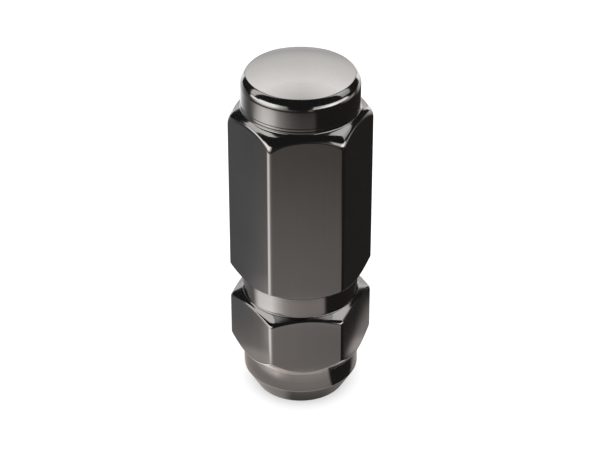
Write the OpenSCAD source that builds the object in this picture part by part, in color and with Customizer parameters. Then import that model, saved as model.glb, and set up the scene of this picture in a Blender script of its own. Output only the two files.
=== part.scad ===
// Extended closed-end wheel lug nut with two hexagons and a 60 degree conical seat.
// One piece of steel: a hexagon bar turned to its outline, then drilled and tapped from the seat end.
// Millimetres. The nut stands on the end of its seat, on the origin, with its axis along Z.

/* [Hexagons] */
// Width across the flats of both hexagons, the wrench size
hex_af = 22; // [20:0.5:27]
// Radius of the upright corners of the hexagons
corner_r = 1.0; // [0.3:0.05:1.5]
// Height of the lower hexagon's flats at their middle
lower_hex_h = 11.2; // [6:0.1:20]
// Height of the upper hexagon's flats at their middle
upper_hex_h = 32.45; // [15:0.05:50]

/* [Chamfers] */
// Slope of the chamfer under the lower hexagon, from level
lower_bottom_slope = 54; // [30:1:65]
// Slope of the chamfer on top of the lower hexagon, from level
lower_top_slope = 24; // [15:1:40]
// Slope of the chamfer under the upper hexagon, from level
upper_bottom_slope = 38; // [15:1:50]
// Slope of the chamfer on top of the upper hexagon, from level
upper_top_slope = 29; // [20:1:55]

/* [Groove] */
// Height of the groove between the two sets of flats
groove_gap = 4.75; // [2:0.05:10]
// Depth of the turned groove below the flats
groove_depth = 0.65; // [0.2:0.05:1.5]

/* [Cap] */
// Height of the cap above the upper flats, up to the top of the dome
cap_h = 8.1; // [6:0.1:16]
// How far the cap's wall stands inside the flats
cap_step = 0.7; // [0.2:0.05:2]
// Radius of the hollow fillet where the cap rises out of the chamfer
cap_fillet_r = 0.6; // [0.2:0.1:1.5]
// Radius of the rounded shoulder at the top of the cap's wall
shoulder_r = 2.1; // [1.5:0.1:3]
// How far the dome's edge stands inside the cap's wall
shoulder_inset = 0.96; // [0.4:0.02:1.1]
// Height of the dome above its edge
dome_rise = 1.5; // [0.6:0.1:2.5]

/* [Seat] */
// Height of the lower flats above the end of the seat
stem_h = 8.5; // [6:0.1:14]
// How far the neck's wall stands inside the flats
neck_step = 0.7; // [0.3:0.05:1.8]
// Diameter of the seat's small end
seat_end_d = 16.2; // [15.8:0.1:17.4]
// Full angle of the conical seat
seat_angle = 60; // [50:1:90]

/* [Thread bore] */
// Nominal diameter of the thread, at which the tapped stretch is bored
thread_d = 14; // [10:0.1:14.2]
// Depth of the tapped stretch from the seat's end
thread_depth = 44; // [25:0.5:48]
// Width of the chamfer round the bore's mouth
mouth_chamfer = 0.5; // [0.2:0.05:0.8]
// Diameter of the tap drill
tap_drill_d = 12.5; // [8:0.1:13.5]
// Full depth of the tap drill's straight wall
drill_depth = 51; // [46:0.5:56]
// Full angle of the drill's point
drill_point_angle = 118; // [90:1:140]

/* [Hidden] */
$fn = 96;
// Room past a face for a clean cut
past = 1;
// How far the circle of a fillet or a rounded corner goes past its two sides, to cross them cleanly
bite = 0.001;
steel = [0.30, 0.30, 0.31];

// Radii of the turned outline
flat_r = hex_af / 2;
cap_r = flat_r - cap_step;
groove_r = flat_r - groove_depth;
neck_r = flat_r - neck_step;
seat_end_r = seat_end_d / 2;
// The outline runs out past the hexagon's corners, which the bar then trims
clear_r = flat_r / cos(30) + past;

// Heights of the flats' ends, and of the cap's parts
lower_bottom_z = stem_h;
lower_top_z = lower_bottom_z + lower_hex_h;
upper_bottom_z = lower_top_z + groove_gap;
upper_top_z = upper_bottom_z + upper_hex_h;
top_z = upper_top_z + cap_h;
dome_edge_z = top_z - dome_rise;
dome_edge_r = cap_r - shoulder_inset;
dome_r = (dome_edge_r * dome_edge_r + dome_rise * dome_rise) / (2 * dome_rise);
shoulder_h = sqrt(pow(shoulder_r, 2) - pow(shoulder_r - shoulder_inset, 2));
shoulder_z = dome_edge_z - shoulder_h;
seat_h = (neck_r - seat_end_r) / tan(seat_angle / 2);

// Length of each side that the cap's fillet takes up, measured from the corner it fills
cap_base_z = chamfer_z(upper_top_z, -upper_top_slope, cap_r);
cap_fillet_side = cap_fillet_r * tan((90 - upper_top_slope) / 2);

// Height at radius r of a chamfer that meets the flats' middle at z; a positive slope rises outwards
function chamfer_z(z, slope, r) = z + (r - flat_r) * tan(slope);

// Half section of everything below the cap
module turned_outline() {
    polygon([
        [0, 0],
        [seat_end_r, 0],
        [neck_r, seat_h],
        [neck_r, chamfer_z(lower_bottom_z, lower_bottom_slope, neck_r)],
        [clear_r, chamfer_z(lower_bottom_z, lower_bottom_slope, clear_r)],
        [clear_r, chamfer_z(lower_top_z, -lower_top_slope, clear_r)],
        [groove_r, chamfer_z(lower_top_z, -lower_top_slope, groove_r)],
        [groove_r, chamfer_z(upper_bottom_z, upper_bottom_slope, groove_r)],
        [clear_r, chamfer_z(upper_bottom_z, upper_bottom_slope, clear_r)],
        [clear_r, chamfer_z(upper_top_z, -upper_top_slope, clear_r)],
        [cap_r, cap_base_z],
        [0, cap_base_z],
    ]);
}

// Half section of the hollow fillet between the chamfer and the cap's wall
module cap_fillet() {
    fillet_drop = cap_fillet_side * sin(upper_top_slope);
    translate([cap_r, cap_base_z])
        difference() {
            polygon([
                [0, cap_fillet_side],
                [-past, cap_fillet_side],
                [-past, -fillet_drop],
                [cap_fillet_side * cos(upper_top_slope), -fillet_drop],
            ]);
            translate([cap_fillet_r - bite, cap_fillet_side - bite])
                circle(cap_fillet_r);
        }
}

// Half section of the cap: its wall, the rounded shoulder that leaves the wall smoothly, and the dome
module cap() {
    intersection() {
        translate([0, top_z - dome_r])
            circle(dome_r);
        union() {
            translate([0, upper_top_z])
                square([cap_r, shoulder_z - upper_top_z]);
            translate([cap_r - shoulder_r, shoulder_z])
                circle(shoulder_r);
            translate([0, upper_top_z])
                square([dome_edge_r - shoulder_inset / 2, cap_h + past]);
        }
    }
}

// The hexagon bar with its rounded corners, flats facing front and back
module hex_bar() {
    corner_reach = (flat_r - corner_r) / cos(30);
    linear_extrude(top_z + past)
        union() {
            polygon([
                for (i = [0:5], side = [-1, 1])
                    let (turn = 60 * i)
                        corner_reach * [cos(turn), sin(turn)]
                        + corner_r * [cos(turn + 30 * side), sin(turn + 30 * side)]
            ]);
            for (i = [0:5])
                rotate(60 * i)
                    translate([corner_reach, 0])
                        circle(corner_r + bite);
        }
}

// The bored space: mouth chamfer, tapped stretch, tap drill and drill point
module bore() {
    thread_r = thread_d / 2;
    drill_r = tap_drill_d / 2;
    point_h = drill_r / tan(drill_point_angle / 2);
    rotate_extrude()
        polygon([
            [0, -past],
            [thread_r + mouth_chamfer + past, -past],
            [thread_r, mouth_chamfer],
            [thread_r, thread_depth],
            [drill_r, thread_depth + thread_r - drill_r],
            [drill_r, drill_depth],
            [0, drill_depth + point_h],
        ]);
}

module lug_nut() {
    color(steel)
        difference() {
            intersection() {
                rotate_extrude()
                    union() {
                        turned_outline();
                        cap_fillet();
                        cap();
                    }
                hex_bar();
            }
            bore();
        }
}

lug_nut();
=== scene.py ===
# %% [markdown]
# A long closed-end wheel lug nut, plated in smoky black chrome. The real nut starts as a hexagon bar: a
# lathe turns the seat, neck, groove and domed cap into it, and a tap cuts the thread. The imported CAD
# model is loaded first as a fixed frame, and everything below is made in that same frame, in metres, so
# nothing has to be fitted by eye.

# %% Load the frame
import math

import bmesh
import bpy
from mathutils import Matrix, Vector


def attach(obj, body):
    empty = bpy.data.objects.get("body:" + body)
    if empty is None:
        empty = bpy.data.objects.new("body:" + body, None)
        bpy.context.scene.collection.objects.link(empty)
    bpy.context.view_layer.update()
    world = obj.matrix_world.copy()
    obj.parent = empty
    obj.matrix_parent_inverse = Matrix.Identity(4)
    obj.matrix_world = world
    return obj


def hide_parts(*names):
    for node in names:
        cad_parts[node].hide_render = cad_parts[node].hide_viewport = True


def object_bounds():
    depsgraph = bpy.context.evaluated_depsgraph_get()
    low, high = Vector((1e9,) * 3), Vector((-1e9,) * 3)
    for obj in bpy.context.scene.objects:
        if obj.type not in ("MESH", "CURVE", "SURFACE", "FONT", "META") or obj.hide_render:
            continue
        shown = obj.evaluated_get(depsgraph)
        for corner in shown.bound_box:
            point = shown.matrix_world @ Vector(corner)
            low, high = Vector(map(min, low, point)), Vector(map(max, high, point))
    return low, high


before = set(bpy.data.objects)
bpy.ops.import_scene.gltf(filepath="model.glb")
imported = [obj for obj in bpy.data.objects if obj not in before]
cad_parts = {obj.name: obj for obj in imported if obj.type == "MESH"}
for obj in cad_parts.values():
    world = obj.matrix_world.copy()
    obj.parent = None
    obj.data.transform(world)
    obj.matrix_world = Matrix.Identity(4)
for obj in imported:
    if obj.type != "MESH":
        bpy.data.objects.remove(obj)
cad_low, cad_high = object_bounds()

MM = 0.001
scene = bpy.context.scene
scene.view_settings.view_transform = "Standard"
print("CAD box in mm:", [round(v / MM, 2) for v in cad_high - cad_low])

# %% [markdown]
# A mirror finish shows the camera's place in every reflection, so the camera comes before the shapes. It
# stands far off with a long lens, about a third of a right angle above the floor, and a little to the
# left of the flat that faces it. One helper turns an azimuth, an elevation and a distance into a point,
# and the lights use it again later.

# %% Camera
CAMERA_AZIMUTH = -5.33
CAMERA_ELEVATION = 33.22
CAMERA_DISTANCE = 390.9 * MM
CAMERA_TARGET = Vector((0, 0, 32.79 * MM))
CAMERA_LENS = 133.1
CAMERA_SENSOR = 36
CAMERA_NEAR = 10 * MM
PICTURE_WIDTH_PX = 600
CONTENT_SHIFT_PX = 0.62


def around(azimuth, elevation, distance):
    """A point that far from the origin; azimuth 0 is towards -Y and grows to the right."""
    a, e = math.radians(azimuth), math.radians(elevation)
    return distance * Vector((math.sin(a) * math.cos(e), -math.cos(a) * math.cos(e), math.sin(e)))


camera = bpy.data.objects.new("camera", bpy.data.cameras.new("camera"))
scene.collection.objects.link(camera)
scene.camera = camera
camera.location = CAMERA_TARGET + around(CAMERA_AZIMUTH, CAMERA_ELEVATION, CAMERA_DISTANCE)
camera.rotation_euler = (CAMERA_TARGET - camera.location).to_track_quat("-Z", "Y").to_euler()
camera.data.lens = CAMERA_LENS
camera.data.sensor_width = CAMERA_SENSOR
camera.data.shift_x = -CONTENT_SHIFT_PX / PICTURE_WIDTH_PX
camera.data.clip_start = CAMERA_NEAR
print("camera at", [round(v / MM, 1) for v in camera.location], "mm")

# %% [markdown]
# The sizes of the nut, in millimetres. The width across the flats and the length are read from the CAD
# model's box, and the others repeat its values. The shoulder alone differs a little: its arc is wider, so
# it starts lower on the cap's wall, and still ends in the same edge of the dome.

# %% Sizes
FLAT_R = round(cad_high.y / MM, 3)
TOP_Z = round(cad_high.z / MM, 3)
CORNER_R = 1.0
LOWER_FLATS = (8.5, 19.7)
LOWER_SLOPES = (54, 24)
UPPER_FLATS = (24.45, 56.9)
UPPER_SLOPES = (38, 29)

GROOVE_DEPTH = 0.65
GROOVE_R = FLAT_R - GROOVE_DEPTH
CAP_STEP = 0.7
CAP_R = FLAT_R - CAP_STEP
DOME_RISE = 1.5
SHOULDER_INSET = 0.96
DOME_EDGE = (CAP_R - SHOULDER_INSET, TOP_Z - DOME_RISE)
DOME_R = (DOME_EDGE[0] ** 2 + DOME_RISE**2) / (2 * DOME_RISE)
SHOULDER_R = 2.4
SHOULDER_Z = DOME_EDGE[1] - math.sqrt(SHOULDER_R**2 - (SHOULDER_R - SHOULDER_INSET) ** 2)

NECK_STEP = 0.7
NECK_R = FLAT_R - NECK_STEP
SEAT_END_R = 8.1
SEAT_HALF_ANGLE = 30
SEAT_H = (NECK_R - SEAT_END_R) / math.tan(math.radians(SEAT_HALF_ANGLE))

THREAD_R = 7.0
THREAD_DEPTH = 44.0
MOUTH_CHAMFER = 0.5
DRILL_R = 6.25
DRILL_DEPTH = 51.0
DRILL_HALF_ANGLE = 59
DRILL_POINT_H = DRILL_R / math.tan(math.radians(DRILL_HALF_ANGLE))
print("length", TOP_Z, "mm, width across the flats", 2 * FLAT_R, "mm")

# %% [markdown]
# Where a chamfer's cone runs into a flat, the edge is a curved scallop that climbs towards each corner. A
# bisect can cut it, but a bevel on it finds no room at the middle of a flat, where the cone almost
# vanishes. So each upright slice of the nut gets its own outline instead. One function gives the reach of
# the rounded hexagon in a direction, and another rounds the corners of an outline with arcs of a fixed
# number of steps.

# %% Reach of the hexagon, and rounded corners
SIDES = 6
HALF_SIDE = 30
CORNER_CENTRE = (FLAT_R - CORNER_R) / math.cos(math.radians(HALF_SIDE))
ARC_START = CORNER_CENTRE * math.sin(math.radians(HALF_SIDE))
CORNER_SPAN = HALF_SIDE - math.degrees(math.atan(ARC_START / FLAT_R))


def hexagon_reach(turn):
    """Distance from the axis to the rounded hexagon; turn is in degrees, with corners at multiples of 60."""
    off_corner = abs((turn + HALF_SIDE) % (2 * HALF_SIDE) - HALF_SIDE)
    if off_corner > CORNER_SPAN:
        return FLAT_R / math.cos(math.radians(HALF_SIDE - off_corner))
    off = math.radians(off_corner)
    return CORNER_CENTRE * math.cos(off) + math.sqrt(CORNER_R**2 - (CORNER_CENTRE * math.sin(off)) ** 2)


def towards_tip(reach):
    """0 at the middle of a flat and 1 at a corner."""
    return (reach - FLAT_R) / (hexagon_reach(0) - FLAT_R)


def rounded(corners):
    """Points (r, z) along an outline with corners (r, z, radius, steps); 0 steps keep a corner sharp."""
    points = []
    for i, (r, z, radius, steps) in enumerate(corners):
        here = Vector((r, z))
        if not steps:
            points.append(here)
            continue
        back = (Vector(corners[i - 1][:2]) - here).normalized()
        ahead = (Vector(corners[i + 1][:2]) - here).normalized()
        half = back.angle(ahead) / 2
        centre = here + (back + ahead).normalized() * radius / math.sin(half)
        first = here + back * radius / math.tan(half) - centre
        last = here + ahead * radius / math.tan(half) - centre
        for step in range(steps + 1):
            points.append(centre + radius * first.slerp(last, step / steps))
    return points


print("corner arcs span", round(2 * CORNER_SPAN, 2), "degrees")

# %% [markdown]
# On the real nut the plating rounds every edge a little, which the CAD model leaves crisp, and a mirror
# shows such an edge as a thin bright line. The edge on top of the upper flats is forged softer: its arc
# leaves the flat smoothly, grows towards each corner and stops short of the cap. At the foot of the cap
# the turning tool left a tight hollow and two fine rings. These stretches are worked out as arcs, because
# a bevel would run out of room beside them.

# %% Arcs and rings of the cap
SOFT_MID_R = 1.5
SOFT_TIP_R = 3.0
SOFT_STOP = 0.3
SOFT_STEPS = 10
RING_HEIGHTS = (57.7, 58.3)
RING_HALF = 0.16
RING_RISE = 0.03
SHOULDER_STEPS = 12
DOME_RINGS = 14


def chamfer_z(flat_end, slope, r):
    """Height at radius r of a chamfer that meets the middle of a flat at flat_end."""
    return flat_end + (r - FLAT_R) * math.tan(math.radians(slope))


def arc(centre_r, centre_z, radius, angles):
    """Outline corners, all sharp, along a circle; the angles are measured from level."""
    return [(centre_r + radius * math.cos(a), centre_z + radius * math.sin(a), 0, 0) for a in angles]


def soft_edge(reach):
    """The forged edge: an arc that leaves the flat smoothly and stops short of the cap."""
    radius = SOFT_MID_R + (SOFT_TIP_R - SOFT_MID_R) * towards_tip(reach) ** 2
    turn = math.radians(90 - UPPER_SLOPES[1])
    start_z = chamfer_z(UPPER_FLATS[1], -UPPER_SLOPES[1], reach) - radius * math.tan(turn / 2)
    room = reach - CAP_R - SOFT_STOP
    last = min(turn, math.acos(1 - room / radius))
    angles = [last * step / SOFT_STEPS for step in range(SOFT_STEPS + 1)]
    return arc(reach - radius, start_z, radius, angles)


def foot_rings():
    """Two fine rings that the turning tool left round the foot of the cap."""
    places = [(z, offset) for z in RING_HEIGHTS for offset in (-RING_HALF, 0, RING_HALF)]
    return [(CAP_R if offset else CAP_R + RING_RISE, z + offset, 0, 0) for z, offset in places]


def shoulder_points():
    """An arc that leaves the cap's wall smoothly and ends just before the dome's edge."""
    turn = math.acos(1 - SHOULDER_INSET / SHOULDER_R)
    angles = [turn * step / SHOULDER_STEPS for step in range(SHOULDER_STEPS)]
    return arc(CAP_R - SHOULDER_R, SHOULDER_Z, SHOULDER_R, angles)


def dome_points():
    """The dome's arc from just inside its edge up to the axis."""
    span = math.asin(DOME_EDGE[0] / DOME_R)
    angles = [math.pi / 2 - span * (1 - ring / DOME_RINGS) for ring in range(1, DOME_RINGS + 1)]
    return arc(0, TOP_Z - DOME_R, DOME_R, angles)


print("soft edge at a corner starts at", round(soft_edge(hexagon_reach(0))[0][1], 2), "mm")

# %% [markdown]
# The outline runs from the drill's point, down the bore, round the seat's end and up the outside to the
# middle of the dome. Only the flats and the outer ends of the four chamfers move with the reach of the
# hexagon. Smooth shading bleeds from a rounded corner into the wall beside it, so each straight wall has
# two more points just inside its ends, which keep it looking straight.

# %% Outline of one slice
SEAT_EDGE_R = 0.15
NECK_EDGE_R = 0.12
SMALL_HOLLOW_R = 0.25
LOWER_EDGE_R = 0.7
MID_EDGE_R = 0.45
TIP_EDGE_R = 1.1
CRISP_EDGE_R = 0.25
CAP_FOOT_R = 0.4
DOME_EDGE_R = 0.6
NECK_WALL = (3.9, 7.42)
GROOVE_WALL = (20.2, 23.77)
CAP_WALL = (58.5, 61.5)
SMALL_STEPS = 3
FINE_STEPS = 4
EDGE_STEPS = 5


def bore_corners():
    return [
        (0, DRILL_DEPTH + DRILL_POINT_H, 0, 0),
        (DRILL_R, DRILL_DEPTH, 0, 0),
        (DRILL_R, THREAD_DEPTH + THREAD_R - DRILL_R, 0, 0),
        (THREAD_R, THREAD_DEPTH, 0, 0),
        (THREAD_R, MOUTH_CHAMFER, 0, 0),
        (THREAD_R + MOUTH_CHAMFER, 0, 0, 0),
    ]


def straight(r, ends):
    """Two points just inside the ends of a straight wall, so that the shading of its ends stops there."""
    return [(r, z, 0, 0) for z in ends]


def slice_corners(reach):
    low, high = LOWER_FLATS
    lower_top_r = MID_EDGE_R + (TIP_EDGE_R - MID_EDGE_R) * towards_tip(reach)
    return [
        *bore_corners(),
        (SEAT_END_R, 0, SEAT_EDGE_R, SMALL_STEPS),
        (NECK_R, SEAT_H, NECK_EDGE_R, FINE_STEPS),
        *straight(NECK_R, NECK_WALL),
        (NECK_R, chamfer_z(low, LOWER_SLOPES[0], NECK_R), SMALL_HOLLOW_R, SMALL_STEPS),
        (reach, chamfer_z(low, LOWER_SLOPES[0], reach), LOWER_EDGE_R, EDGE_STEPS),
        (reach, chamfer_z(high, -LOWER_SLOPES[1], reach), lower_top_r, EDGE_STEPS),
        (GROOVE_R, chamfer_z(high, -LOWER_SLOPES[1], GROOVE_R), SMALL_HOLLOW_R, SMALL_STEPS),
        *straight(GROOVE_R, GROOVE_WALL),
        (GROOVE_R, chamfer_z(UPPER_FLATS[0], UPPER_SLOPES[0], GROOVE_R), SMALL_HOLLOW_R, SMALL_STEPS),
        (reach, chamfer_z(UPPER_FLATS[0], UPPER_SLOPES[0], reach), CRISP_EDGE_R, EDGE_STEPS),
        *soft_edge(reach),
        (CAP_R, chamfer_z(UPPER_FLATS[1], -UPPER_SLOPES[1], CAP_R), CAP_FOOT_R, FINE_STEPS),
        *foot_rings(),
        *straight(CAP_R, CAP_WALL),
        *shoulder_points(),
        (*DOME_EDGE, DOME_EDGE_R, SMALL_STEPS),
        *dome_points(),
    ]


corner_slice = rounded(slice_corners(hexagon_reach(0)))
print("one slice has", len(corner_slice), "points")

# %% [markdown]
# Now the nut is made in the lathe's order. Spinning the slice through a corner by 60 degrees gives one
# sixth of a round blank, and every vertex keeps the number of its row on the slice. The milling then
# moves each vertex in its own upright plane to the outline that belongs to its direction, so the flats
# come out flat and the scallops follow by themselves.

# %% Spin and mill one sixth
COLUMNS = 120


def spun_sixth():
    bm = bmesh.new()
    row_layer = bm.verts.layers.int.new("row")
    chain = [bm.verts.new((r * MM, 0, z * MM)) for r, z in corner_slice]
    for row, vert in enumerate(chain):
        vert[row_layer] = row
    links = [bm.edges.new(pair) for pair in zip(chain, chain[1:])]
    bmesh.ops.spin(
        bm, geom=chain + links, cent=(0, 0, 0), axis=(0, 0, 1), angle=math.tau / SIDES, steps=COLUMNS
    )
    return bm, row_layer


def mill(bm, row_layer):
    slices = {}
    for vert in bm.verts:
        turn = math.atan2(vert.co.y, vert.co.x)
        column = round(turn / math.tau * SIDES * COLUMNS)
        if column not in slices:
            slices[column] = rounded(slice_corners(hexagon_reach(column * 360 / SIDES / COLUMNS)))
        r, z = slices[column][vert[row_layer]]
        vert.co = (r * math.cos(turn) * MM, r * math.sin(turn) * MM, z * MM)


blank, row_of = spun_sixth()
mill(blank, row_of)
print("milled", len(blank.verts), "vertices")

# %% [markdown]
# Each face takes one of three finishes: the flats keep the drawn skin of the bar, the bore has hardly any
# plating, and the rest is turned. The rows tell them apart, which is surer than a guess from the normals.
# Five turned copies of the sixth complete the nut, and merging the doubles closes the seams and the
# poles.

# %% Sort the faces and close the nut
TURNED, FLATS, BORE = 0, 1, 2
BORE_ROWS = len(bore_corners())
SHORTEST_FLAT = 5.5
UPRIGHT_SLACK = 0.01
MERGE_DISTANCE = 0.0005 * MM
SHARP_ANGLE = math.radians(35)


def finish_of(rows):
    """Which finish a face takes, from the rows of its vertices on the slice."""
    if max(rows) < BORE_ROWS:
        return BORE
    low, high = corner_slice[min(rows)], corner_slice[max(rows)]
    tall = high[1] - low[1] > SHORTEST_FLAT
    upright = abs(high[0] - low[0]) < UPRIGHT_SLACK
    return FLATS if tall and upright else TURNED


def copied_verts(bm, geom):
    """The vertices of a new copy of some geometry."""
    copied = bmesh.ops.duplicate(bm, geom=geom)["geom"]
    return [part for part in copied if isinstance(part, bmesh.types.BMVert)]


for face in blank.faces:
    face.smooth = True
    face.material_index = finish_of([vert[row_of] for vert in face.verts])
one_sixth = blank.verts[:] + blank.edges[:] + blank.faces[:]
for side in range(1, SIDES):
    turned_by = Matrix.Rotation(math.tau * side / SIDES, 3, "Z")
    bmesh.ops.rotate(blank, verts=copied_verts(blank, one_sixth), matrix=turned_by)
bmesh.ops.remove_doubles(blank, verts=blank.verts, dist=MERGE_DISTANCE)
bmesh.ops.recalc_face_normals(blank, faces=blank.faces)
for edge in blank.edges:
    edge.smooth = edge.calc_face_angle(0) < SHARP_ANGLE
print("faces:", len(blank.faces), "open edges:", sum(edge.is_boundary for edge in blank.edges))

# %% [markdown]
# The thread inside is an M14 with a pitch of 1.5 mm. The CAD model leaves it as a plain wall at the
# nominal diameter, so the ridge is added here: its section, a triangle with a blunt tip, is spun through
# one turn while a small step along the axis after each move makes it climb, and copies of that turn are
# stacked. The first dies away in the mouth's chamfer, and the last in the wall.

# %% Thread ridge
PITCH = 1.5
BASE_HALF = PITCH * 7 / 16
TIP_HALF = PITCH / 8
CREST_R = 6.188
THREAD_TURNS = 28
STEPS_PER_TURN = 60
SUNK = 0.02
THREAD_START_Z = 0.75
RUNOUT = 1.2


def thread_ridge():
    bm = bmesh.new()
    root_r = THREAD_R + SUNK
    section = [(root_r, -BASE_HALF), (CREST_R, -TIP_HALF), (CREST_R, TIP_HALF), (root_r, BASE_HALF)]
    ring = [bm.verts.new((r * MM, 0, (THREAD_START_Z + z) * MM)) for r, z in section]
    links = [bm.edges.new(pair) for pair in zip(ring, ring[1:] + ring[:1])]
    climb = Vector((0, 0, PITCH * MM / STEPS_PER_TURN))
    bmesh.ops.spin(
        bm, geom=ring + links, cent=(0, 0, 0), axis=(0, 0, 1), dvec=climb, angle=math.tau,
        steps=STEPS_PER_TURN,
    )
    one_turn = bm.verts[:] + bm.edges[:] + bm.faces[:]
    for turn in range(1, THREAD_TURNS):
        bmesh.ops.translate(bm, vec=(0, 0, turn * PITCH * MM), verts=copied_verts(bm, one_turn))
    bmesh.ops.remove_doubles(bm, verts=bm.verts, dist=MERGE_DISTANCE)
    bmesh.ops.holes_fill(bm, edges=bm.edges, sides=len(section))
    return bm


def fade_ends(bm):
    """Keeps the ridge clear of the mouth's chamfer and lets it sink into the wall at its far end."""
    far_z = max(vert.co.z for vert in bm.verts) / MM
    for vert in bm.verts:
        r, z = vert.co.xy.length / MM, vert.co.z / MM
        mouth_r = THREAD_R + MOUTH_CHAMFER + SUNK - z
        runout_r = THREAD_R + SUNK - (far_z - z) * (THREAD_R - CREST_R) / RUNOUT
        vert.co.xy *= max(r, mouth_r, runout_r) / r


ridge = thread_ridge()
fade_ends(ridge)
bmesh.ops.recalc_face_normals(ridge, faces=ridge.faces)
ridge_top = max(vert.co.z for vert in ridge.verts) / MM
print("thread ridge:", len(ridge.faces), "faces, up to", round(ridge_top, 1), "mm")

# %% [markdown]
# A material is a tree of nodes, and most of the nodes below only do a sum or mix two things. A few
# helpers add such a node and link its inputs in one line, so that the finishes and lights can be read as
# formulas.

# %% Helpers for nodes
def add(tree, kind, operation=None, data_type=None, **inputs):
    """A new node with some of its inputs set or linked, by name or, as in _0, by number."""
    node = tree.nodes.new(kind)
    if operation:
        node.operation = operation
    if data_type:
        node.data_type = data_type
    for name, value in inputs.items():
        socket = node.inputs[int(name[1:])] if name[0] == "_" else node.inputs[name.replace("_", " ")]
        if isinstance(value, bpy.types.NodeSocket):
            tree.links.new(value, socket)
        else:
            socket.default_value = value
    return node


def math_node(tree, operation, *values):
    numbered = {f"_{i}": value for i, value in enumerate(values)}
    return add(tree, "ShaderNodeMath", operation, **numbered).outputs[0]


def mix(tree, share, first, second):
    """A value that goes from first to second as share goes from 0 to 1."""
    return add(tree, "ShaderNodeMix", _0=share, _2=first, _3=second).outputs[0]


def mix_colour(tree, share, first, second):
    """A colour that goes from first to second as share goes from 0 to 1."""
    return add(tree, "ShaderNodeMix", data_type="RGBA", _0=share, _6=first, _7=second).outputs[2]


def noise(tree, vector, scale, detail):
    return add(tree, "ShaderNodeTexNoise", Vector=vector, Scale=scale, Detail=detail).outputs["Fac"]


print("node helpers:", ", ".join(helper.__name__ for helper in (add, math_node, mix, mix_colour, noise)))

# %% [markdown]
# Black chrome is a thin dark mirror: a metal with a low base colour and a little roughness. It follows
# the marks of the tools below it. The turned parts carry faint rings, and the flats faint lines along the
# bar from which it was drawn. Both come from one node group, a noise that is stretched along the marks,
# with a fine grain and a slow cloudiness beside it. The group puts out a tint, a roughness and a height.

# %% Tool marks, as a node group
MARK_DETAIL = 3
GRAIN_SCALE = 9000
GRAIN_DETAIL = 2
GRAIN_SHARE = 0.25
CLOUD_SCALE = 140
CLOUD_DETAIL = 3
NOISE_MEAN = 0.5
GROUP_INPUTS = (
    ("Along Marks", "NodeSocketVector"),
    ("Position", "NodeSocketVector"),
    ("Mark Scale", "NodeSocketFloat"),
    ("Tint Spread", "NodeSocketFloat"),
    ("Roughness", "NodeSocketFloat"),
    ("Roughness Spread", "NodeSocketFloat"),
)


def tool_marks_group():
    group = bpy.data.node_groups.new("tool_marks", "ShaderNodeTree")
    for name, kind in GROUP_INPUTS:
        group.interface.new_socket(name, in_out="INPUT", socket_type=kind)
    for name in ("Tint", "Roughness", "Height"):
        group.interface.new_socket(name, in_out="OUTPUT", socket_type="NodeSocketFloat")
    given = group.nodes.new("NodeGroupInput").outputs
    put_out = group.nodes.new("NodeGroupOutput").inputs
    marks = noise(group, given["Along Marks"], given["Mark Scale"], MARK_DETAIL)
    grain = noise(group, given["Position"], GRAIN_SCALE, GRAIN_DETAIL)
    clouds = noise(group, given["Position"], CLOUD_SCALE, CLOUD_DETAIL)
    height = math_node(group, "MULTIPLY_ADD", grain, GRAIN_SHARE, marks)
    uneven = math_node(group, "SUBTRACT", math_node(group, "ADD", clouds, marks), 2 * NOISE_MEAN)
    tint = math_node(group, "MULTIPLY_ADD", uneven, given["Tint Spread"], 1)
    rough = math_node(group, "MULTIPLY_ADD", uneven, given["Roughness Spread"], given["Roughness"])
    for name, value in (("Tint", tint), ("Roughness", rough), ("Height", height)):
        group.links.new(value, put_out[name])
    return group


tool_marks = tool_marks_group()
print("tool marks group:", len(tool_marks.nodes), "nodes")

# %% [markdown]
# Three finishes use the group: the turned chrome, whose marks run round the axis, the chrome on the
# flats, whose marks run along it, and the duller steel down the bore, where little plating reaches. A
# pattern on Object coordinates needs no unwrapping, and it stays put on the nut when the nut is moved.

# %% Finishes
RING_STRETCH = 0.00005
LINE_STRETCH = 0.01
TINT_SPREAD = 0.12
BUMP_HEIGHT = 0.002 * MM
CHROME_COLOUR = (0.244, 0.239, 0.236)
STEEL_COLOUR = (0.12, 0.115, 0.11)


def rings_round_axis(tree, position):
    """Coordinates that change along the outline but hardly round the axis."""
    parts = add(tree, "ShaderNodeSeparateXYZ", Vector=position).outputs
    squares = [math_node(tree, "MULTIPLY", parts[i], parts[i]) for i in (0, 1)]
    radius = math_node(tree, "SQRT", math_node(tree, "ADD", *squares))
    turn = math_node(tree, "MULTIPLY", math_node(tree, "ARCTAN2", parts[1], parts[0]), RING_STRETCH)
    return add(tree, "ShaderNodeCombineXYZ", X=radius, Y=turn, Z=parts[2]).outputs[0]


def lines_along_axis(tree, position):
    """Coordinates that change across a flat but hardly along the axis."""
    return add(tree, "ShaderNodeVectorMath", "MULTIPLY", _0=position, _1=(1, 1, LINE_STRETCH)).outputs[0]


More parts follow.
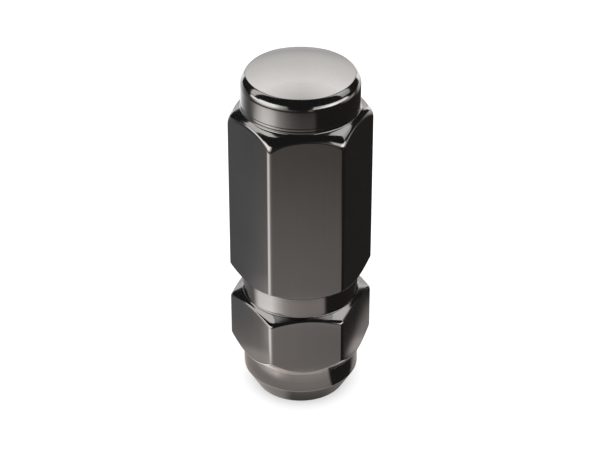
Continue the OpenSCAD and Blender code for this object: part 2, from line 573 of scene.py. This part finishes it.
def plated(name, colour, along, mark_scale, roughness, spread, bump):
    material = bpy.data.materials.new(name)
    material.use_nodes = True
    tree = material.node_tree
    shader = tree.nodes["Principled BSDF"]
    position = tree.nodes.new("ShaderNodeTexCoord").outputs["Object"]
    marks = tree.nodes.new("ShaderNodeGroup")
    marks.node_tree = tool_marks
    tree.links.new(along(tree, position), marks.inputs["Along Marks"])
    tree.links.new(position, marks.inputs["Position"])
    marks.inputs["Mark Scale"].default_value = mark_scale
    marks.inputs["Tint Spread"].default_value = TINT_SPREAD
    marks.inputs["Roughness"].default_value = roughness
    marks.inputs["Roughness Spread"].default_value = spread
    tint = add(tree, "ShaderNodeVectorMath", "SCALE", _0=colour, Scale=marks.outputs["Tint"])
    bumps = add(tree, "ShaderNodeBump", Strength=bump, Distance=BUMP_HEIGHT, Height=marks.outputs["Height"])
    tree.links.new(tint.outputs[0], shader.inputs["Base Color"])
    tree.links.new(marks.outputs["Roughness"], shader.inputs["Roughness"])
    tree.links.new(bumps.outputs[0], shader.inputs["Normal"])
    shader.inputs["Metallic"].default_value = 1
    return material


turned_chrome = plated("turned_black_chrome", CHROME_COLOUR, rings_round_axis,
                       mark_scale=5000, roughness=0.1, spread=0.05, bump=0.3)
flat_chrome = plated("flat_black_chrome", CHROME_COLOUR, lines_along_axis,
                     mark_scale=3000, roughness=0.1, spread=0.05, bump=0.3)
bore_steel = plated("bore_steel", STEEL_COLOUR, rings_round_axis,
                    mark_scale=3000, roughness=0.42, spread=0.2, bump=0.6)
print("finishes:", turned_chrome.name, flat_chrome.name, bore_steel.name)

# %% [markdown]
# The nut is one piece of steel, so its mesh stands in for the CAD model's only part. The thread's ridge
# is a piece of its own that sinks a little into the bore's wall, because joining the two would cost many
# faces where nobody looks. Weighted normals keep the large flats evenly lit beside their narrow rounded
# edges.

# %% The two pieces
def new_piece(name, bm, materials):
    """A finished piece at the origin, made from a bmesh."""
    mesh = bpy.data.meshes.new(name)
    bm.to_mesh(mesh)
    bm.free()
    piece = bpy.data.objects.new(name, mesh)
    scene.collection.objects.link(piece)
    for material in materials:
        mesh.materials.append(material)
    return piece


nut = new_piece("nut", blank, (turned_chrome, flat_chrome, bore_steel))
nut.modifiers.new("even_normals", "WEIGHTED_NORMAL").keep_sharp = True
thread = new_piece("thread", ridge, (bore_steel,))
for piece in (nut, thread):
    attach(piece, "root")
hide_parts("lug_nut")
print("nut:", len(nut.data.polygons), "faces")

# %% [markdown]
# The nut stands on white paper under a large soft lamp, which leaves a faint shadow. A dark mirror looks
# like what stands round it, so the lamp and the paper are hidden from reflections, and cards that only
# reflections see take their place. The world is nearly black, so that the gaps between the cards stay
# dark.

# %% Floor and lamp
PAPER_WHITE = (0.9, 0.9, 0.9, 1)
PAPER_ROUGHNESS = 0.9
PAPER_SHINE_SHARE = 0.5
FLOOR_HALF = 1.5
FLOOR_DROP = 0.02 * MM
LAMP_HEIGHT = 1.0
LAMP_SIZE = 2.4
LAMP_POWER = 54
WORLD_COLOUR = (0.032, 0.032, 0.032, 1)


def white_paper():
    """Matt white, half of it seen as lit from behind, so that the shadow on it stays faint."""
    material = bpy.data.materials.new("white_paper")
    material.use_nodes = True
    tree = material.node_tree
    matt = tree.nodes["Principled BSDF"]
    matt.inputs["Base Color"].default_value = PAPER_WHITE
    matt.inputs["Roughness"].default_value = PAPER_ROUGHNESS
    seen = tree.nodes.new("ShaderNodeLightPath").outputs["Is Camera Ray"]
    shine = add(tree, "ShaderNodeEmission", Color=(1, 1, 1, 1), Strength=1)
    share = math_node(tree, "MULTIPLY", seen, PAPER_SHINE_SHARE)
    both = add(tree, "ShaderNodeMixShader", _0=share, _1=matt.outputs[0], _2=shine.outputs[0])
    tree.links.new(both.outputs[0], tree.nodes["Material Output"].inputs["Surface"])
    return material


floor_bm = bmesh.new()
bmesh.ops.create_grid(floor_bm, x_segments=1, y_segments=1, size=FLOOR_HALF)
bmesh.ops.translate(floor_bm, vec=(0, 0, -FLOOR_DROP), verts=floor_bm.verts)
floor = new_piece("floor", floor_bm, (white_paper(),))
floor.visible_glossy = False

lamp = bpy.data.objects.new("overhead_lamp", bpy.data.lights.new("overhead_lamp", "AREA"))
scene.collection.objects.link(lamp)
lamp.location = (0, 0, LAMP_HEIGHT)
lamp.data.size = LAMP_SIZE
lamp.data.energy = LAMP_POWER
lamp.visible_glossy = False
world = bpy.data.worlds.new("studio")
scene.world = world
world.use_nodes = True
world.node_tree.nodes["Background"].inputs["Color"].default_value = WORLD_COLOUR
print("floor and lamp ready")

# %% [markdown]
# A card glows with a strength that changes over it. Colour ramps give that strength: a ramp has a few
# stops, each with a place and a level, and blends between them. One kind of ramp runs with the bearing
# from a point on the floor, measured from the direction of the camera, because the light on a nut changes
# as one walks round it.

# %% Glowing cards
CARD_COLOUR = (1.0, 0.985, 0.965, 1)
TOWARDS_CAMERA = 0.5
AXIS_POINT = (0, 0)


def glossy_only(card):
    """Lets a card be seen in reflections and nowhere else."""
    card.visible_camera = False
    card.visible_diffuse = False
    card.visible_shadow = False
    card.visible_transmission = False
    card.visible_volume_scatter = False


def glow(name):
    """A material that only shines, and its emission node."""
    material = bpy.data.materials.new(name)
    material.use_nodes = True
    tree = material.node_tree
    tree.nodes.remove(tree.nodes["Principled BSDF"])
    shine = add(tree, "ShaderNodeEmission", Color=CARD_COLOUR)
    tree.links.new(shine.outputs[0], tree.nodes["Material Output"].inputs["Surface"])
    material.cycles.emission_sampling = "NONE"
    return material, shine


def ramp(tree, value, stops):
    """A grey ramp from stops of (place, level)."""
    node = add(tree, "ShaderNodeValToRGB", Fac=value)
    elements = node.color_ramp.elements
    middle = 0.5
    while len(elements) < len(stops):
        elements.new(middle)
    for element, (place, level) in zip(elements, stops):
        element.position = place
        element.color = (level, level, level, 1)
    return node.outputs["Color"]


def bearing(tree, position, point):
    """Direction from a point on the floor, given in mm to the right and to the front, as a share of a turn:
    0.5 is towards the camera, and more is further right."""
    right, front = around(CAMERA_AZIMUTH + 90, 0, MM), around(CAMERA_AZIMUTH, 0, MM)
    corner = right * point[0] + front * point[1]
    away = add(tree, "ShaderNodeVectorMath", "SUBTRACT", _0=position, _1=corner).outputs[0]
    parts = [
        add(tree, "ShaderNodeVectorMath", "DOT_PRODUCT", _0=away, _1=side / MM).outputs["Value"]
        for side in (right, front)
    ]
    return math_node(tree, "MULTIPLY_ADD", math_node(tree, "ARCTAN2", *parts), 1 / math.tau, TOWARDS_CAMERA)


def by_bearing(tree, turn, *stops):
    """A ramp with stops of (bearing in degrees, level)."""
    return ramp(tree, turn, [(TOWARDS_CAMERA + degrees / 360, level) for degrees, level in stops])


print("cards shine in", CARD_COLOUR[:3])

# %% [markdown]
# Eight panels stand round the nut, like the soft boxes of a studio. A tall one behind it lights the dome,
# and its two low wings light the far ends of the top chamfers. On each side of the camera there are a low
# panel for the shoulder and the soft edges and a high one for the top chamfers, and one more low panel
# stands further round on the left. The dark gap between the low panels draws the dark band on the
# shoulder. Lamps could do this too, but plane cards with ramps have one face each and cost little to trace.

# %% Panels seen in the reflections
PANEL_DISTANCE = 0.7
WING_DISTANCE = 0.68
EVEN = ((0, 1),)


def panel_glow(name, levels, sides):
    """Emission from stops of (elevation, strength), times stops of (azimuth from the camera, share)."""
    material, shine = glow(name)
    tree = material.node_tree
    position = tree.nodes.new("ShaderNodeTexCoord").outputs["Object"]
    direction = add(tree, "ShaderNodeVectorMath", "NORMALIZE", _0=position).outputs[0]
    height = add(tree, "ShaderNodeSeparateXYZ", Vector=direction).outputs[2]
    rises = [(math.sin(math.radians(elevation)), level) for elevation, level in levels]
    by_side = by_bearing(tree, bearing(tree, position, AXIS_POINT), *sides)
    strength = math_node(tree, "MULTIPLY", ramp(tree, height, rises), by_side)
    tree.links.new(strength, shine.inputs["Strength"])
    return material


def panel(name, corners, levels, sides=EVEN, distance=PANEL_DISTANCE):
    """A flat panel with its corners in given directions, as (azimuth from the camera, elevation)."""
    bm = bmesh.new()
    places = [around(CAMERA_AZIMUTH + azimuth, elevation, distance) for azimuth, elevation in corners]
    bm.faces.new([bm.verts.new(place) for place in places])
    card = new_piece(name, bm, (panel_glow(name, levels, sides),))
    glossy_only(card)


panel("back_panel", ((148, 1), (212, 1), (214, 68), (146, 68)),
      levels=((0, 0.85), (6, 0.86), (12, 0.95), (20, 1.35), (28, 1.68), (36, 1.9), (44, 2.2), (52, 2.5),
              (60, 2.2), (70, 1.8)),
      sides=((-180, 1), (-165, 1.06), (-150, 1.15), (150, 1.15), (165, 1.06), (180, 1)))
panel("back_left_wing", ((-139, -1), (-160, -1), (-160, 23), (-146, 21)),
      levels=((0, 2), (14, 1.9), (20, 1.2), (23, 0.9)), distance=WING_DISTANCE)
panel("back_right_wing", ((139, -1), (160, -1), (160, 21), (142, 21)),
      levels=((0, 2.3), (14, 2), (20, 1.6)), distance=WING_DISTANCE)
panel("left_panel", ((-80, -2), (-21, -2), (-24, 22), (-80, 16)),
      levels=((0, 3.1), (25, 3.1)), sides=((-80, 1), (-48, 1), (-36, 0.45), (-22, 0.12)))
panel("far_left_panel", ((-101, -2), (-80, -2), (-80, 10), (-101, 10)),
      levels=((0, 3.0), (10, 3.0)), sides=((-101, 0.75), (-95, 1)))
panel("upper_left_panel", ((-92, 14), (-103, 12), (-124, 52), (-97, 74)),
      levels=((15, 1.5), (45, 1.7), (60, 1.85)))
panel("right_panel", ((21, -2), (98, -2), (92, 12), (24, 19)),
      levels=((0, 3.5), (9, 3.5), (15, 2.4), (20, 2)),
      sides=((21, 0.5), (30, 0.5), (40, 0.75), (56, 1.1), (66, 1), (76, 0.8), (88, 0.8), (97, 0.35)))
panel("upper_right_panel", ((84, 22), (104, 18), (127, 48), (105, 72)),
      levels=((20, 0.85), (35, 1.2), (50, 1.7), (70, 1.6)))
print("eight panels at", PANEL_DISTANCE, "m and", WING_DISTANCE, "m")

# %% [markdown]
# The floor is what most of the nut mirrors. From this camera each upright wall shows its own ring of the
# floor: the neck the ring from about 16 to 22 mm off the axis, the lower flats and the groove the next
# one, up to 47 mm, and the upper flats the wide one, up to about 100 mm. An apron on the floor, which
# only reflections see, carries that light. Two kinds of ramp make its glow, by distance from the axis and
# by bearing from a point, and a zone is the product of the two.

# %% Apron: ramps and zones
RAMP_REACH = 0.5
apron_glow, apron_shine = glow("apron")
apron_tree = apron_glow.node_tree
apron_place = apron_tree.nodes.new("ShaderNodeTexCoord").outputs["Object"]
apron_length = add(apron_tree, "ShaderNodeVectorMath", "LENGTH", _0=apron_place).outputs["Value"]
apron_distance = math_node(apron_tree, "DIVIDE", apron_length, RAMP_REACH)


def by_distance(*stops):
    """A level from stops of (distance from the axis in mm, level)."""
    return ramp(apron_tree, apron_distance, [(reach * MM / RAMP_REACH, level) for reach, level in stops])


def seen_from(point):
    """The bearing from a point, given in mm to the right and to the front of the axis."""
    return bearing(apron_tree, apron_place, point)


def by_turn(turn, *stops):
    """A level from stops of (bearing in degrees, level)."""
    return by_bearing(apron_tree, turn, *stops)


def zone(first, second):
    """The product of two levels: light only where both have some."""
    return math_node(apron_tree, "MULTIPLY", first, second)


def fade(share, first, second):
    return mix(apron_tree, share, first, second)


def lit(level, lit_zone, strength):
    """A level with the light of a zone added."""
    return math_node(apron_tree, "MULTIPLY_ADD", lit_zone, strength, level)


from_axis = seen_from(AXIS_POINT)
print("apron ramps reach", RAMP_REACH, "m")

# %% [markdown]
# In front of the nut the floor gets darker with the distance, with brighter rings for the top of the neck
# and for the groove. Right at the foot, inside about 9 mm of the axis, the glow is painted dark: a painted
# contact shadow, which the cone of the seat mirrors. It goes dark past the ring that the cap's wall shows,
# where only the hollow at the foot of the cap and the start of the shoulder look. At the left back, where
# the left flats look, it is dim and a little cooler.

# %% Apron: in front and at the left back
LEFT_BACK_LEVEL = 0.22
LEFT_POINT = (0, 10)
from_left = seen_from(LEFT_POINT)
# The first stops, dark up to about 9 mm and rising to 14 mm, are the painted contact shadow at the foot.
front = by_distance(
    (0, 0.1), (8.8, 0.1), (9.6, 0.22), (10.4, 0.36), (14, 0.5), (16.5, 0.57), (18, 0.62), (19.5, 0.78),
    (21.5, 0.78), (23.5, 0.46), (30, 0.44), (37.5, 0.45), (39, 0.62), (44, 0.62), (46, 0.41), (62, 0.35),
    (78, 0.28), (98, 0.18), (113.5, 0.2), (116.5, 0.05),
)
left_back = zone(
    by_turn(from_left, (-112, 1), (-106, 0), (150, 0), (180, 1)),
    by_distance((22, 0), (30, 0.65), (46, 1)),
)
apron_level = fade(left_back, front, LEFT_BACK_LEVEL)
print("apron: floor in front, and", LEFT_BACK_LEVEL, "at the left back")

# %% [markdown]
# The left is the bright side. The groove, the chamfers and the rounded corners look there, and so does
# the wall of the cap, which needs a ramp of its own round the axis, with a dark gap for the hollow at its
# foot.

# %% Apron: left
LEFT_LEVEL = 1.85
left_of_flats = zone(
    by_turn(from_left, (-107, 0), (-102, 0.4), (-95, 0.82), (-86, 0.93), (-66, 1.08), (-50, 0.55),
            (-38, 0.25), (-25, 0.1), (-5, 0.04), (20, 0)),
    by_distance((19.5, 0), (24, 0.42), (29, 1), (38, 1.05), (40, 0.86), (46, 0.86), (49, 1)),
)
left_of_cap = zone(
    by_turn(from_axis, (-107, 0), (-96, 0.22), (-84, 0.7), (-72, 1.04), (-61, 1.04), (-50, 0.84),
            (-43, 0.5), (-38, 0.34), (-27, 0.17), (-15, 0.05), (0, 0)),
    by_distance((116, 1), (119, 0.12), (190, 0.12), (260, 1.2)),
)
left = fade(by_distance((104, 0), (108, 1)), left_of_flats, left_of_cap)
apron_level = lit(apron_level, left, LEFT_LEVEL)
print("apron: left side at", LEFT_LEVEL)

# %% [markdown]
# Close to the foot there are three narrow rings. One serves the cone of the seat and one the chamfer
# under the lower hexagon, which both look down. The third lights the left side of the neck just below
# that chamfer.

# %% Apron: round the foot
SEAT_SIDE_LEVEL = 0.3
UNDER_HEXAGON_LEVEL = 2.5
NECK_TOP_LEVEL = 1.0
seat_sides = zone(
    by_turn(from_axis, (-100, 1), (-24, 1), (-12, 0), (28, 0), (44, 0.15), (80, 0.1)),
    by_distance((8, 1), (10.3, 1), (10.6, 0)),
)
under_hexagon_ring = fade(
    by_turn(from_axis, (-36, 1), (-24, 0)),
    by_distance((10.9, 0), (11.3, 1), (13.1, 1), (13.5, 0)),
    by_distance((10.9, 0), (11.6, 0.6), (12.3, 1), (12.8, 1.15), (13, 1.15), (13.5, 0.1), (14, 0)),
)
under_hexagon = zone(
    by_turn(from_axis, (-92, 0.5), (-82, 1), (-72, 1.7), (-57, 2), (-50, 1.95), (-38, 1.7), (-30, 1.05),
            (-19, 0.75), (0, 0.7), (29, 0.66), (39, 0.5), (70, 0.5), (90, 0)),
    under_hexagon_ring,
)
neck_top = zone(
    by_turn(from_axis, (-75, 0), (-68, 0.4), (-62, 0.7), (-55, 0.9), (-37, 1.2), (-30, 0.5), (-22, 0.15),
            (-15, 0)),
    by_distance((18.3, 0), (19.1, 1), (20.2, 1), (20.8, 0)),
)
apron_level = lit(apron_level, seat_sides, SEAT_SIDE_LEVEL)
apron_level = lit(apron_level, under_hexagon, UNDER_HEXAGON_LEVEL)
apron_level = lit(apron_level, neck_top, NECK_TOP_LEVEL)
print("apron: three rings round the foot")

# %% [markdown]
# The right is the dark side, painted shade: the floor there is drawn as lying in shadow, so that the right
# flats, which mirror it, are almost black. The dark zone has a front edge, and a back edge that is set apart
# for the chamfer, the neck, the lower flat and the upper flat, each as seen from its own place. Far off on
# the right there is some light again, for the start of the shoulder.

# %% Apron: right
RIGHT_SHADE_LEVEL = 0.04
RIGHT_FAR_LEVEL = 0.75
RIGHT_POINT = (6, 6)
CHAMFER_POINT = (3.5, 14)
NECK_POINT = (9.3, 3.9)
LOWER_FLAT_POINT = (12.9, 7.5)
UPPER_FLAT_POINT = (9, 14)
from_right = seen_from(RIGHT_POINT)
front_edge = fade(
    by_distance((60, 0), (90, 1)),
    by_turn(from_right, (39, 0), (46, 1), (172, 1), (178, 0)),
    by_turn(from_right, (22, 0), (29, 1), (172, 1), (178, 0)),
)
chamfer_edge = by_turn(seen_from(CHAMFER_POINT), (138, 1), (142, 0))
neck_edge = by_turn(seen_from(NECK_POINT), (116, 1), (144, 0))
lower_flat_edge = by_turn(seen_from(LOWER_FLAT_POINT), (143.5, 1), (148, 0))
upper_flat_edge = by_turn(seen_from(UPPER_FLAT_POINT), (158, 1), (163, 0))
back_edge = fade(by_distance((32, 0), (36, 1)), lower_flat_edge, upper_flat_edge)
back_edge = fade(by_distance((17.9, 0), (18.4, 1)), neck_edge, back_edge)
back_edge = fade(by_distance((13.6, 0), (14, 1)), chamfer_edge, back_edge)
# The painted shade on the right: where this zone is 1, the apron glows almost black.
right = zone(zone(front_edge, back_edge), by_distance((10.5, 0), (11.5, 1)))
right_far = zone(
    by_turn(from_axis, (12, 0), (18, 0.6), (24, 0), (75, 0), (95, 1), (108, 1), (118, 0)),
    by_distance((150, 0), (230, 1)),
)
apron_level = fade(right, apron_level, RIGHT_SHADE_LEVEL)
apron_level = lit(apron_level, right_far, RIGHT_FAR_LEVEL)
print("apron: right side at", RIGHT_SHADE_LEVEL)

# %% [markdown]
# Along the outline the metal is seen at a grazing angle and mirrors what lies behind it, so the floor
# there is bright and gives the thin light edges. The tone of the whole apron is warm in front, neutral on
# the left and cool at the left back. One disc, a hair above the floor, carries it all.

# %% Apron: behind, and its disc
BEHIND_LEVEL = 1.9
WARM = (1.0, 0.92, 0.87, 1)
COOL = (1.0, 1.02, 1.05, 1)
APRON_R = 0.6
APRON_LIFT = 0.03 * MM
APRON_SEGMENTS = 64
behind_rings = fade(
    by_turn(from_axis, (100, 0), (110, 1), (160, 1), (170, 0)),
    by_distance((84, 0), (105, 0.55), (137, 0.72), (240, 0.86), (380, 1)),
    by_distance((118, 0), (150, 0.4), (200, 0.85), (380, 1)),
)
behind = zone(
    by_turn(from_axis, (-180, 1), (-158, 1), (-153, 0.9), (-141, 0.6), (-130, 0.25), (-120, 0.05),
            (-114, 0), (118, 0), (124, 0.2), (130, 0.5), (140, 0.65), (149, 0.9), (156, 1)),
    behind_rings,
)
apron_level = lit(apron_level, behind, BEHIND_LEVEL)
apron_tree.links.new(apron_level, apron_shine.inputs["Strength"])
warm_or_neutral = mix_colour(apron_tree, left, WARM, CARD_COLOUR)
apron_tone = mix_colour(apron_tree, left_back, warm_or_neutral, COOL)
apron_tree.links.new(apron_tone, apron_shine.inputs["Color"])

apron_bm = bmesh.new()
bmesh.ops.create_circle(apron_bm, cap_ends=True, segments=APRON_SEGMENTS, radius=APRON_R)
bmesh.ops.translate(apron_bm, vec=(0, 0, APRON_LIFT), verts=apron_bm.verts)
apron = new_piece("apron", apron_bm, (apron_glow,))
glossy_only(apron)
print("apron of", APRON_R, "m,", len(apron_tree.nodes), "nodes")
